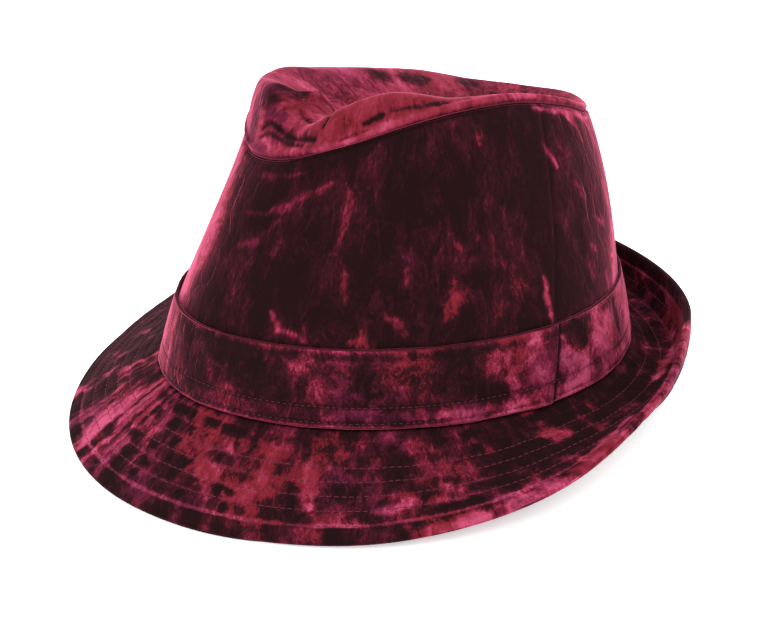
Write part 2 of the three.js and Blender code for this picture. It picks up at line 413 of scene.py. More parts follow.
def sheetFields(flow, mark, warmth, creaseShade, count, atStart=False):
    # what the nap group reads, with blank rows for the hidden faces of a sheet
    fields = {"flow": flow, "mark": mark, "warmth": warmth, "creaseShade": creaseShade}
    return {label: padRows(values, count, atStart) for label, values in fields.items()}


def ripples(flow, style, seed, squeeze=1):
    # shallow folds in the cloth, drawn out upwards by a squeeze below 1
    spots = flow / millimetre * np.array([1, 1, squeeze])
    return style["ripple"] * layeredNoise(spots / style["rippleLength"], seed)


def roundColumns(count):
    # angles once round the hat
    return np.linspace(0, 2 * np.pi, count, endpoint=False)


def someRows(values, count):
    # a few rows, evenly picked from first to last
    return values[np.linspace(0, len(values) - 1, count).round().astype(int)]


def addPiece(name, points, faceSets, materials, nodes=None, attributes=None, faceMaterial=None):
    # a mesh from points in millimetres, with only the points that its faces use
    corners = np.concatenate([faces.ravel() for faces in faceSets])
    sizes = np.concatenate([np.full(len(faces), faces.shape[1]) for faces in faceSets])
    used, order = np.unique(corners, return_inverse=True)
    points = (np.asarray(points).reshape(-1, 3)[used] + hatShift) * millimetre
    mesh = bpy.data.meshes.new(name)
    mesh.vertices.add(len(points))
    mesh.vertices.foreach_set("co", points.ravel())
    mesh.loops.add(len(corners))
    mesh.loops.foreach_set("vertex_index", order.ravel())
    mesh.polygons.add(len(sizes))
    mesh.polygons.foreach_set("loop_start", np.cumsum(sizes) - sizes)
    mesh.polygons.foreach_set("use_smooth", np.ones(len(sizes), bool))
    for material in materials:
        mesh.materials.append(material)
    if faceMaterial is not None:
        mesh.polygons.foreach_set("material_index", faceMaterial.astype(np.int32))
    for label, values in (attributes or {}).items():
        kind, key, width = ("FLOAT_VECTOR", "vector", 3) if values.ndim == 3 else ("FLOAT", "value", 1)
        field = mesh.attributes.new(label, kind, "POINT")
        field.data.foreach_set(key, values.reshape(-1, width)[used].astype(np.float32).ravel())
    mesh.update(calc_edges=True)
    mesh.validate()
    piece = newObject(mesh)
    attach(piece, "root")
    if nodes:
        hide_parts(*nodes)
    print(name, len(sizes), "faces,", int((sizes - 2).sum()), "triangles")


def drawStrokes(points, surface, strokes, wander=1.5):
    # every stroke follows its stations over the surface, thins out at both ends and fades sideways
    marks, warmths, sinks = (np.zeros(points.shape[:-1]) for _ in range(3))
    mottle = 1 + 0.5 * layeredNoise(points / 1.7, 71)
    stray = [layeredNoise(points / 5 + 31 * axis, 61 + axis) for axis in range(3)]
    points = points + wander * np.stack(stray, axis=-1)
    for stroke in strokes:
        stations = np.array(stroke["path"], float)
        along = np.linspace(0, len(stations) - 1, 9 * len(stations))
        angles, shares = (np.interp(along, np.arange(len(stations)), values) for values in stations.T)
        centres = standing(surface(np.radians(angles), shares / 100))
        widths = stroke["width"] * (0.5 + 0.5 * np.sin(np.linspace(0.15, np.pi - 0.15, len(along))))
        closest = np.full(points.shape[:-1], 9.0)
        for centre, width in zip(centres, widths):
            away = ((points - centre) ** 2).sum(-1) / width ** 2
            closest = np.minimum(closest, away)
        fade = np.exp(-closest) - np.exp(-9.0)
        marks += stroke["mark"] * fade * mottle
        warmths += stroke.get("warmth", 0) * fade
        sinks += stroke.get("sink", 0) * fade
    return marks, warmths, sinks


def lineOnSheet(points, normals, distance, wanted):
    # where each column of a sheet reaches the wanted distance
    column = np.arange(distance.shape[1])
    cell = np.clip((distance <= wanted).sum(0) - 1, 0, len(distance) - 2)
    low, high = distance[cell, column], distance[cell + 1, column]
    part = np.clip((wanted - low) / (high - low), 0, 1)[:, None]
    return [values[cell, column] + (values[cell + 1, column] - values[cell, column]) * part
            for values in (points, normals)]


def evenSpots(line, outward, pitch, closed):
    # places along a line at equal distances, each with its normal and its heading
    if closed:
        line, outward = (np.concatenate([values, values[:1]]) for values in (line, outward))
    lengths = np.linalg.norm(np.diff(line, axis=0), axis=1)
    travelled = np.concatenate([[0], np.cumsum(lengths)])
    count = int(travelled[-1] / pitch)
    wanted = (np.arange(count) + 0.5) * travelled[-1] / count
    spots, up = (np.stack([np.interp(wanted, travelled, values[:, axis]) for axis in range(3)], axis=1)
                 for values in (line, outward))
    return spots, unit(up), unit(np.gradient(spots, axis=0))


threadStyle = {"length": 2.5, "radius": 0.19, "dive": 0.22, "sides": 5, "rings": 4, "jitter": 0.08}


def addStitches(name, rows, style, seed):
    # every stitch is a slim bead with its two ends diving into the cloth
    rings, sides = style["rings"], style["sides"]
    along = np.linspace(-1, 1, rings + 2)
    turn = np.arange(sides) * 2 * np.pi / sides
    girth = np.sqrt(np.clip(1 - along[1:-1] ** 4, 0.05, 1))[:, None]
    bead = stack(along[1:-1, None], girth * np.cos(turn), girth * np.sin(turn)).reshape(-1, 3)
    bead = np.concatenate([[[-1, 0, 0]], bead, [[1, 0, 0]]])
    lift = style["radius"] * 0.45 - style["dive"] * bead[:, 0] ** 4
    body = 1 + gridFaces(rings, sides, False, True)
    last, side = len(bead) - 1, np.arange(sides)
    after = (side + 1) % sides
    ends = np.concatenate([stack(0, 1 + after, 1 + side),
                           stack(last, last - sides + side, last - sides + after)]).astype(int)
    spots, up, ahead = (np.concatenate(parts) for parts in zip(*rows))
    aside = unit(np.cross(up, ahead))
    shift = np.random.default_rng(seed).uniform(-1, 1, (len(spots), 2)) * style["jitter"]
    spots = spots + ahead * shift[:, :1] + aside * shift[:, 1:]
    points = (spots[:, None] + ahead[:, None] * bead[None, :, :1] * style["length"] / 2
              + aside[:, None] * bead[None, :, 1:2] * style["radius"]
              + up[:, None] * (bead[None, :, 2:] * style["radius"] + lift[None, :, None]))
    points[..., 2] = np.maximum(points[..., 2], 0)
    first = np.arange(len(spots))[:, None, None] * len(bead)
    faceSets = [(first + body).reshape(-1, 4), (first + ends[None]).reshape(-1, 3)]
    addPiece(name, points, faceSets, [threadFinish])


def addNode(tree, kind, inputs=None, **settings):
    # settings come first, because some of them change which sockets there are
    made = tree.nodes.new(kind)
    for name, value in settings.items():
        setattr(made, name, value)
    for key, value in (inputs or {}).items():
        if isinstance(value, bpy.types.NodeSocket):
            tree.links.new(value, made.inputs[key])
        else:
            made.inputs[key].default_value = value
    return made


def calculate(tree, operation, *values):
    # one node of arithmetic on numbers
    return addNode(tree, "ShaderNodeMath", dict(enumerate(values)), operation=operation).outputs[0]


def vectorMath(tree, operation, *values, output=0):
    # one node of arithmetic on vectors
    made = addNode(tree, "ShaderNodeVectorMath", dict(enumerate(values)), operation=operation)
    return made.outputs[output]


def scaleBy(tree, vector, factor):
    # a vector times a number
    inputs = {0: vector, "Scale": factor}
    return addNode(tree, "ShaderNodeVectorMath", inputs, operation="SCALE").outputs[0]


def noiseAt(tree, spot, scale, detail, output="Fac", **more):
    # soft noise at a spot, its scale in steps for each unit
    inputs = {"Vector": spot, "Scale": scale, "Detail": detail, **more}
    return addNode(tree, "ShaderNodeTexNoise", inputs).outputs[output]


def smoothStep(tree, value, low, high):
    # rises smoothly from 0 at low to 1 at high
    inputs = {"Value": value, "From Min": low, "From Max": high}
    return addNode(tree, "ShaderNodeMapRange", inputs, interpolation_type="SMOOTHSTEP").outputs["Result"]


def mixColours(tree, share, first, second):
    # the colour mix has its share in socket 0, its colours in 6 and 7 and its result in 2
    inputs = {0: share, 6: first, 7: second}
    return addNode(tree, "ShaderNodeMix", inputs, data_type="RGBA").outputs[2]


napColours = {
    "deep": (0.0082, 0.0024, 0.0029, 1),
    "wine": (0.030, 0.0038, 0.0074, 1),
    "crimson": (0.097, 0.0064, 0.0165, 1),
    "rose": (0.212, 0.020, 0.047, 1),
    "bloom": (0.37, 0.052, 0.116, 1),
    "brick": (0.127, 0.0083, 0.0130, 1),
    "plum": (0.062, 0.0065, 0.028, 1),
}


pileControls = ("shardSize", "stretch", "warp", "lift", "contrast", "veins")
pileFields = ("mark", "warmth", "creaseShade")


def makeNapGroup():
    # crushed pile: warped shards that each lie another way, broken up by wisps and fine hairs
    tree = bpy.data.node_groups.new("crushedNap", "ShaderNodeTree")
    sockets = [("flow", "INPUT", "Vector"), ("colour", "OUTPUT", "Color")]
    sockets += [(label, "INPUT", "Float") for label in pileControls + pileFields]
    sockets += [(label, "OUTPUT", "Float") for label in ("nap", "height")]
    for label, side, kind in sockets:
        tree.interface.new_socket(label, in_out=side, socket_type="NodeSocket" + kind)
    given = addNode(tree, "NodeGroupInput").outputs
    squeeze = addNode(tree, "ShaderNodeCombineXYZ",
                      {0: 1.0, 1: 1.0, 2: calculate(tree, "DIVIDE", 1.0, given["stretch"])})
    flat = vectorMath(tree, "MULTIPLY", given["flow"], squeeze.outputs[0])
    scaled = scaleBy(tree, flat, calculate(tree, "DIVIDE", 1.0, given["shardSize"]))
    sway = noiseAt(tree, scaled, 0.7, 3.0, "Color")
    swing = vectorMath(tree, "SUBTRACT", sway, (0.5, 0.5, 0.5))
    pushed = scaleBy(tree, swing, calculate(tree, "MULTIPLY", given["warp"], 4.0))
    warped = vectorMath(tree, "ADD", scaled, pushed)
    shards = addNode(tree, "ShaderNodeTexVoronoi", {"Vector": warped, "Scale": 1.3, "Smoothness": 0.25},
                     feature="SMOOTH_F1")
    spread = vectorMath(tree, "SUBTRACT", warped, shards.outputs["Position"])
    heading = vectorMath(tree, "SUBTRACT", shards.outputs["Color"], (0.5, 0.5, 0.5))
    tilt = vectorMath(tree, "DOT_PRODUCT", spread, heading, output="Value")
    cloud = noiseAt(tree, warped, 0.5, 5.0, Roughness=0.62)
    wisp = noiseAt(tree, vectorMath(tree, "MULTIPLY", warped, (1.9, 1.9, 0.8)), 1.0, 3.0, Distortion=0.8)
    ridge = calculate(tree, "ABSOLUTE", calculate(tree, "MULTIPLY_ADD", wisp, 2.0, -1.0))
    ridge = smoothStep(tree, ridge, 0.14, 0.0)
    hair = noiseAt(tree, vectorMath(tree, "MULTIPLY", warped, (5.0, 5.0, 2.4)), 1.0, 3.0, Roughness=0.65)
    grain = noiseAt(tree, scaled, 9.0, 2.0)
    nap = calculate(tree, "MULTIPLY_ADD", cloud, 2.2, -1.1)
    for part, weight in ((tilt, 0.55), (ridge, given["veins"]), (hair, 0.5), (grain, 0.6)):
        nap = calculate(tree, "MULTIPLY_ADD", part, weight, nap)
    nap = calculate(tree, "SUBTRACT", nap, 0.55)
    # strong marks are held back, so that the pile still shows in them
    level = calculate(tree, "ADD", given["lift"], given["mark"])
    # painted shade in seams, tucks and stitch grooves is taken off the level
    level = calculate(tree, "SMOOTH_MIN", calculate(tree, "SUBTRACT", level, given["creaseShade"]), 0.66, 0.3)
    nap = calculate(tree, "MULTIPLY_ADD", nap, given["contrast"], level)
    lifted = smoothStep(tree, nap, -0.35, 1.0)
    ramp = addNode(tree, "ShaderNodeValToRGB", {"Fac": lifted})
    ramp.color_ramp.elements[0].color = napColours["deep"]
    ramp.color_ramp.elements[1].color = napColours["bloom"]
    for place, name in ((0.28, "wine"), (0.52, "crimson"), (0.78, "rose")):
        ramp.color_ramp.elements.new(place).color = napColours[name]
    colour = ramp.outputs["Color"]
    hue = calculate(tree, "ADD", noiseAt(tree, warped, 0.35, 3.0), given["warmth"])
    tints = table("name hueFrom hueTo napFrom napTo weight", [
        ("brick", 0.50, 0.64, 0.15, 0.45, 0.65),
        ("plum", 0.46, 0.34, 0.1, 0.35, 0.4),
    ])
    for tint in tints:
        share = calculate(tree, "MULTIPLY", smoothStep(tree, hue, tint["hueFrom"], tint["hueTo"]),
                          smoothStep(tree, lifted, tint["napFrom"], tint["napTo"]))
        share = calculate(tree, "MULTIPLY", share, tint["weight"])
        colour = mixColours(tree, share, colour, napColours[tint["name"]])
    height = calculate(tree, "MULTIPLY_ADD", tilt, 0.8, calculate(tree, "MULTIPLY", hair, 0.5))
    addNode(tree, "NodeGroupOutput", {"colour": colour, "nap": lifted, "height": height})
    return tree


napGroup = makeNapGroup()


def addRelief(tree, shader, height, strength, depth):
    # fine height differences, tilting the shader's normal
    relief = addNode(tree, "ShaderNodeBump", {"Height": height, "Strength": strength, "Distance": depth})
    tree.links.new(relief.outputs["Normal"], shader.inputs["Normal"])


velvetStyles = table("name shardSize stretch warp lift contrast veins bump sheen gloss", [
    ("sideVelvet", 0.009, 1.7, 0.4, -0.22, 0.82, 0.17, 0.0007, 0.85, 0.032),
    ("tipVelvet", 0.010, 1.8, 0.4, 0.38, 0.80, 0.20, 0.0008, 0.8, 0.040),
    ("bandVelvet", 0.006, 1.4, 0.4, -0.04, 0.92, 0.17, 0.0008, 0.8, 0.038),
    ("brimVelvet", 0.006, 1.5, 0.4, 0.10, 0.82, 0.18, 0.0008, 0.1, 0.03),
])


def makeVelvet(style):
    # the nap group colours the cloth, and its level and height set roughness and relief
    material, tree, cloth = newMaterial(style["name"], {
        "Specular IOR Level": style["gloss"], "Sheen Weight": style["sheen"],
        "Sheen Roughness": 0.3, "Sheen Tint": (1.0, 0.17, 0.32, 1),
    })
    inputs = {label: style[label] for label in pileControls}
    for field in ("flow",) + pileFields:
        values = addNode(tree, "ShaderNodeAttribute", attribute_name=field)
        inputs[field] = values.outputs["Vector" if field == "flow" else "Fac"]
    nap = addNode(tree, "ShaderNodeGroup", inputs, node_tree=napGroup)
    tree.links.new(nap.outputs["colour"], cloth.inputs["Base Color"])
    rough = calculate(tree, "MULTIPLY_ADD", nap.outputs["nap"], -0.25, 0.85)
    tree.links.new(rough, cloth.inputs["Roughness"])
    addRelief(tree, cloth, nap.outputs["height"], 0.6, style["bump"])
    return material


def makePlain(name, colour, roughness, weave):
    # plain cloth or thread with darker and lighter specks and a fine pebbled relief
    material, tree, cloth = newMaterial(name, {"Roughness": roughness, "Specular IOR Level": 0.2})
    spot = addNode(tree, "ShaderNodeTexCoord").outputs["Object"]
    tones = [tuple(part * share for part in colour) + (1,) for share in (0.7, 1.3)]
    tree.links.new(mixColours(tree, noiseAt(tree, spot, 900.0, 2.0), *tones), cloth.inputs["Base Color"])
    threads = addNode(tree, "ShaderNodeTexVoronoi", {"Vector": spot, "Scale": weave}).outputs["Distance"]
    addRelief(tree, cloth, threads, 0.4, 0.0003)
    return material


velvets = {style["name"]: makeVelvet(style) for style in velvetStyles}
backingCloth = makePlain("backingCloth", (0.035, 0.008, 0.015), 0.9, 1200.0)
threadFinish = makePlain("wineThread", (0.080, 0.010, 0.025), 0.7, 2500.0)
print("materials are made")

sideStyle = {
    "columns": 620, "wall": 1.8, "innerRows": 10,
    "seamDepth": 0.35, "seamWidth": 0.6, "lipHeight": 0.12, "lipPlace": 2.6, "lipWidth": 1.8,
    "tuck": 1.1, "tuckWidth": 1.1, "ripple": 0.45, "rippleLength": 16, "drum": 80,
    # painted shade in the sunk seam and in the tuck under the rim
    "seamShade": 0.05, "rimShade": 0.35,
}


def wrapAngle(angle):
    # the same angle between minus and plus half a turn
    return (angle + np.pi) % (2 * np.pi) - np.pi


# Where the pile on the side lies another way, and two strips of painted sheen: stations are degrees and
# hundredths of the height.
sideStrokes = table("path width mark warmth sink", [
    # painted sheen: two wide light strips down the side where it turns away from the camera on the left and
    # the right
    ([(-15, 98), (-15, 75), (-14, 50), (-13, 28)], 15, 1.1),
    ([(160, 72), (159, 50), (157, 28)], 10, 0.95),
    ([(16, 74), (24, 75.5), (32, 79), (40, 83), (46, 85)], 1.9, 0.4),
    ([(17, 60), (24, 64), (30, 72)], 2.2, 0.32),
    ([(14, 93), (24, 92), (34, 93)], 1.6, 0.36),
    ([(36, 38), (40, 31.5), (47, 29)], 1.8, 0.68),
    ([(47, 36), (46, 30)], 1.4, 0.32),
    ([(55, 53), (56, 43)], 1.8, 0.28),
    ([(64, 46), (63, 40)], 1.8, 0.28),
    ([(58, 30), (63, 28)], 2, 0.48),
    ([(71, 54), (71, 48)], 1.3, 0.4, 0.2),
    ([(67, 37), (70, 34.5), (71, 32)], 2.3, 0.6),
    ([(83, 47), (83, 42), (81, 35)], 4.8, 0.46, 0.45),
    ([(83, 64), (85, 58)], 1.3, 0.36),
    ([(95, 95.5), (94, 90)], 1.9, 0.44, 0.4),
    ([(117, 88), (119, 84), (121, 78)], 1.2, 0.65),
    ([(124, 88), (126, 82)], 1.2, 0.4),
    ([(107.5, 44), (108, 36), (108.5, 28)], 2, 1),
    ([(118, 98.5), (128, 98), (140, 97.5), (152, 97)], 1.9, 0.9),
    ([(133, 97), (138, 93), (139, 85)], 1.5, 0.9),
    ([(144, 97), (148, 92), (148, 83)], 1.9, 1),
    ([(127, 72), (131, 64)], 1.6, 0.44),
    ([(133, 58), (138, 53), (142, 57)], 1.4, 0.48),
    ([(128, 49), (131, 46)], 2, 0.5),
    ([(125, 44), (127, 37)], 2.4, 0.35),
    ([(134, 35), (135, 28)], 1.8, 0.6),
    ([(145, 67), (147, 56)], 2.8, 0.8),
    ([(147, 50), (143, 40), (140, 29)], 5.5, 1),
])


def seamStrength(theta):
    # the seam is plumply rolled in front and pressed flat behind
    turn = np.degrees(np.abs(wrapAngle(theta)))
    return 1 - 0.85 * np.clip((turn - 95) / 40, 0, 1)


def wallSheet(column, share):
    # the crown's wall as it stands, with its foot lifted off the brim
    theta = column + math.radians(hatShape["seamLean"]) * share
    base = sidePoint(theta, share)
    base[..., 2] += hatShape["footLift"] * (1 - share)
    return theta, standing(base)


def makeSide(style):
    # the wall offset along its normals, pressed in at its seam and rim, and closed over both edges
    seam = math.radians(hatShape["seamAngle"])
    columns = seam + roundColumns(style["columns"])
    shares = np.concatenate([np.linspace(0, 0.22, 6, endpoint=False),
                             np.linspace(0.22, 0.965, 104, endpoint=False), np.linspace(0.965, 1, 16)])
    column, share = np.meshgrid(columns, shares)
    theta, base = wallSheet(column, share)
    normal = gridNormals(base)
    height = arcAlong(base)
    fromRim = height[-1] - height
    radius = np.linalg.norm(base[..., :2] - base[..., :2].mean(1, keepdims=True), axis=-1)
    fromSeam = wrapAngle(column - seam) * radius
    lean = -style["seamDepth"] * bump(fromSeam, style["seamWidth"])
    lean += style["lipHeight"] * bump(np.abs(fromSeam) - style["lipPlace"], style["lipWidth"])
    lean -= style["tuck"] * bump(fromRim, style["tuckWidth"] * (0.4 + 0.6 * seamStrength(theta)))
    flow = ringFlow(theta, height, style["drum"])
    lean += ripples(flow, style, 11, 0.35) * np.clip(fromRim / 10, 0, 1)
    aboveBand = np.clip((share - hatShape["headShare"]) / 0.03, 0, 1)
    lean = np.minimum(lean, 0) + np.maximum(lean, 0) * aboveBand
    mark, warmth, sink = drawStrokes(base, sidePoint, sideStrokes)
    outer = base + normal * (lean - sink)[..., None]
    inner = someRows(base - normal * style["wall"], style["innerRows"])
    top = roundEdge(outer[-1], inner[-1], unit(base[-1] - base[-3]))
    foot = roundEdge(inner[0], outer[0], unit(base[0] - base[2]))
    rows = np.concatenate([outer, top, inner[::-1], foot])
    faces = gridFaces(len(rows), style["columns"], True, True)
    # painted shade in the sunk seam and in the tuck under the rim, deeper where the seam is rolled
    creaseShade = style["seamShade"] * bump(fromSeam, 0.8)
    creaseShade += style["rimShade"] * bump(fromRim, 1.0) * seamStrength(theta)
    fields = sheetFields(flow, mark, warmth, creaseShade, len(rows) - len(outer))
    plain = np.repeat(np.arange(len(rows)) >= len(outer) + 2, style["columns"])
    addPiece("crownSide", rows, [faces], [velvets["sideVelvet"], backingCloth],
             ["crown_side"], fields, plain)


makeSide(sideStyle)

tipStyle = {
    "columns": 520, "wall": 1.8, "innerRows": 12,
    "ridge": 0.9, "ridgePlace": 2.2, "ridgeWidth": 1.2, "tuck": 0.9, "tuckWidth": 0.8, "ripple": 0.5,
    # painted shade in the tuck along the seam
    "rippleLength": 11, "drum": 45, "rimShade": 0.35,
    "allowanceDepth": 2.3, "allowanceWall": 0.8, "allowanceFoot": 0.968,
}

# Folds and patches on the tip: hundredths of the way from seam to middle line. The light stroke up the
# nose's left side is painted sheen, the light bands along the seam's roll are painted highlight, and the
# dark strokes that also sink the cloth paint the shade in their folds.
tipStrokes = table("path width mark warmth sink", [
    # painted sheen up the nose's left side
    ([(-18, 2), (-16, 14), (-14, 28)], 4.5, 0.45),
    ([(-4, 4), (-3, 15), (-2, 27)], 3.2, -0.3, -0.25),
    ([(-9, 5), (2, 5.5), (12, 5)], 2.6, -0.12, -0.3),
    # dark folds: the cloth sinks, and the darkness is painted shade in the fold
    ([(6, 14), (11, 20), (18, 25), (24, 24.5), (29, 19.5), (35, 13)], 1.4, -0.62, 0, 1),
    ([(5, 10), (12, 15), (19, 18), (25, 16.5), (30, 12)], 1.1, -0.4, 0, 0.6),
    ([(13, 7), (20, 8.5), (28, 7)], 2.2, 0.15, 0.1),
    ([(0, 45), (0, 58), (2, 74)], 4.8, -0.55, -0.2),
    ([(2, 22), (9, 33)], 3.6, -0.4, -0.25),
    ([(8, 21), (14, 30), (15, 40)], 3.2, -0.25, -0.25),
    ([(17, 58), (25, 54), (33, 46)], 1.5, -0.3, 0, 0.8),
    ([(15, 75), (22, 74), (31, 70)], 1.3, 0.12),
    ([(14, 45), (22, 40), (31, 33), (36, 22)], 2.4, 0.12, 0.12),
    ([(16, 90), (24, 97), (33, 88)], 1.7, -0.35, 0, 0.6),
    ([(38, 20), (40, 32), (41, 46)], 1.3, -0.6, 0, 1.4),
    ([(54, 11.5), (58, 12), (61, 12.5)], 1.4, -0.75, 0, 0.2),
    ([(47, 13), (49, 18)], 2, -0.3),
    ([(45, 6.2), (50, 6.6), (55, 7)], 0.9, -0.5, 0, 0.3),
    # painted highlight: light bands along the roll just above the seam
    ([(36, 2), (45, 3.5), (54, 4.2), (64, 4.5), (74, 5)], 1.7, 0.55),
    ([(76, 5), (90, 6), (104, 8), (120, 9)], 1.7, 0.45),
    ([(64, 13), (75, 12), (86, 11)], 1.2, -0.4, 0, 0.2),
    ([(-88, 28), (-93, 42)], 3.6, -0.7),
    ([(-101, 40), (-107, 42), (-113, 40)], 4.4, -0.7),
    ([(-129, 32), (-137, 32)], 3, -0.65),
    ([(-77, 66), (-84, 64)], 1.8, -0.5),
])


def makeTip(style):
    # the tip's curve all round, offset along its normals and joined along its middle line
    columns = roundColumns(style["columns"])
    shares = np.concatenate([np.linspace(0, 0.09, 18, endpoint=False), np.linspace(0.09, 1, 84)])
    theta, share = np.meshgrid(columns, shares)
    base = standing(tipPoint(theta, share))
    lip = standing(rimPoint(columns) + sideRise(columns) * hatShape["seamLip"])[None]
    base, theta = np.concatenate([lip, base]), np.concatenate([theta[:1], theta])
    share = np.concatenate([share[:1] - 0.02, share])
    arc = arcAlong(base)
    normal = gridNormals(base)
    mirror = (-np.arange(style["columns"])) % style["columns"]
    normal[-1] = unit(normal[-1] + normal[-1][mirror])
    strength = seamStrength(theta)
    lean = style["ridge"] * bump(arc - style["ridgePlace"], style["ridgeWidth"]) * strength
    lean -= style["tuck"] * bump(arc, style["tuckWidth"] * (0.4 + 0.6 * strength))
    # near its middle line the tip's own coordinates turn into those of its plan
    flow = ringFlow(theta, arc, style["drum"])
    plan = stack(base[..., 0], base[..., 1], arc) * millimetre
    towardSpine = np.clip((share - 0.55) / 0.45, 0, 1)[..., None]
    flow = flow * (1 - towardSpine) + plan * towardSpine
    lean += ripples(flow, style, 23) * np.clip(arc / 6, 0, 1) * (1 - towardSpine[..., 0])
    mark, warmth, sink = drawStrokes(base, tipPoint, tipStrokes, 0.6)
    outer = base + normal * (lean - sink)[..., None]
    inner = someRows(base - normal * style["wall"], style["innerRows"])
    inner[-1] = (inner[-1] + inner[-1][mirror]) / 2
    edge = roundEdge(inner[0], outer[0], unit(base[0] - base[1]))
    # the seam allowance hangs down inside the side and closes the seam
    foot = standing(sidePoint(columns, np.full_like(columns, style["allowanceFoot"])))
    near = normal[0] * style["allowanceDepth"]
    far = near + normal[0] * style["allowanceWall"]
    fold = roundEdge(foot - far, foot - near, unit(foot - base[0]))
    allowance = np.concatenate([[base[1] - far, foot - far], fold, [foot - near, base[0] - near, inner[0]]])
    hidden = np.concatenate([inner[:0:-1], allowance])
    rows = np.concatenate([hidden, edge, outer])
    faces = gridFaces(len(rows), style["columns"], False, True)
    # the two sides share the points of the middle line
    index = np.arange(rows.size // 3).reshape(len(rows), -1)
    half = np.minimum(np.arange(style["columns"]), mirror)
    index[0], index[-1] = index[0][half], index[-1][half]
    faces = index.ravel()[faces]
    # painted shade along the tucked seam, deeper where it is rolled
    creaseShade = style["rimShade"] * bump(arc, 0.8) * strength
    fields = sheetFields(flow, mark, warmth, creaseShade, len(rows) - len(outer), True)
    plain = np.repeat(np.arange(len(rows) - 1) < len(hidden) + 1, style["columns"])
    addPiece("crownTip", rows, [faces], [velvets["tipVelvet"], backingCloth],
             ["crown_tip"], fields, plain)


makeTip(tipStyle)

bandStyle = {
    "columns": 700, "inner": 0.3, "outer": 1.9, "lap": 7.0, "lapRise": 1.5,
    "stitchLines": (1.4, 7.8), "stitchDepth": 0.25, "stitchWidth": 0.6, "stitchPitch": 2.4,
    # painted highlight on the folded top edge
    "ripple": 0.5, "foldHighlight": 0.25, "footLight": 0.4, "rippleLength": 9, "drum": 84,
    # painted shade in the stitch grooves, below the fold, beside the lap's step and on its end
    "stitchShade": 0.25, "foldShade": 0.15, "lapShadow": 1.2, "endShade": 0.5, "endTaper": 0.9,
}

# Marks on the band: hundredths of the crown's height. The wide light stroke at the left end is painted
# sheen, and the dark strokes that also sink the cloth paint the shade in their folds.
bandStrokes = table("path width mark warmth sink", [
    # painted sheen at the band's left end
    ([(-14, 25), (-14, 14), (-14, 2)], 9, 0.85),
    ([(-3, 24), (-2, 14), (0, 4)], 1.8, 0.5),
    ([(92, 22), (94, 16), (95, 10)], 6, 0.5),
    ([(101, 24), (102, 15), (103, 7)], 6.5, 0.55),
    ([(123, 25), (125, 16), (126, 8)], 8.5, 1.05),
    ([(109, 16), (113, 12), (117, 8)], 5, 0.65),
    ([(78, 3.5), (92, 3), (106, 3), (120, 3.5), (136, 5)], 4.2, 0.75),
    ([(140, 26), (143, 16), (145, 6)], 8, 0.85),
    # dark folds: the cloth sinks, and the darkness is painted shade in the fold
    ([(93, 20), (93, 5)], 1.3, -0.35, 0, 0.5),
    ([(114, 26), (116, 21), (117, 16)], 2, -0.85, 0, 0.4),
    ([(109, 25), (111, 18), (115, 11)], 1.3, 0.35),
    ([(133, 25), (134, 12)], 1.4, -0.6, 0, 0.3),
    ([(142, 23.5), (143, 20)], 2, -1),
    ([(22, 20), (30, 17), (36, 20)], 4.5, -0.35),
    ([(44, 20), (52, 15), (60, 12)], 5, 0.2, -0.1),
    ([(58, 6), (68, 5), (76, 4)], 3.5, 0.25, -0.15),
    ([(70, 19), (80, 15), (88, 12)], 5, -0.25, 0.1),
])


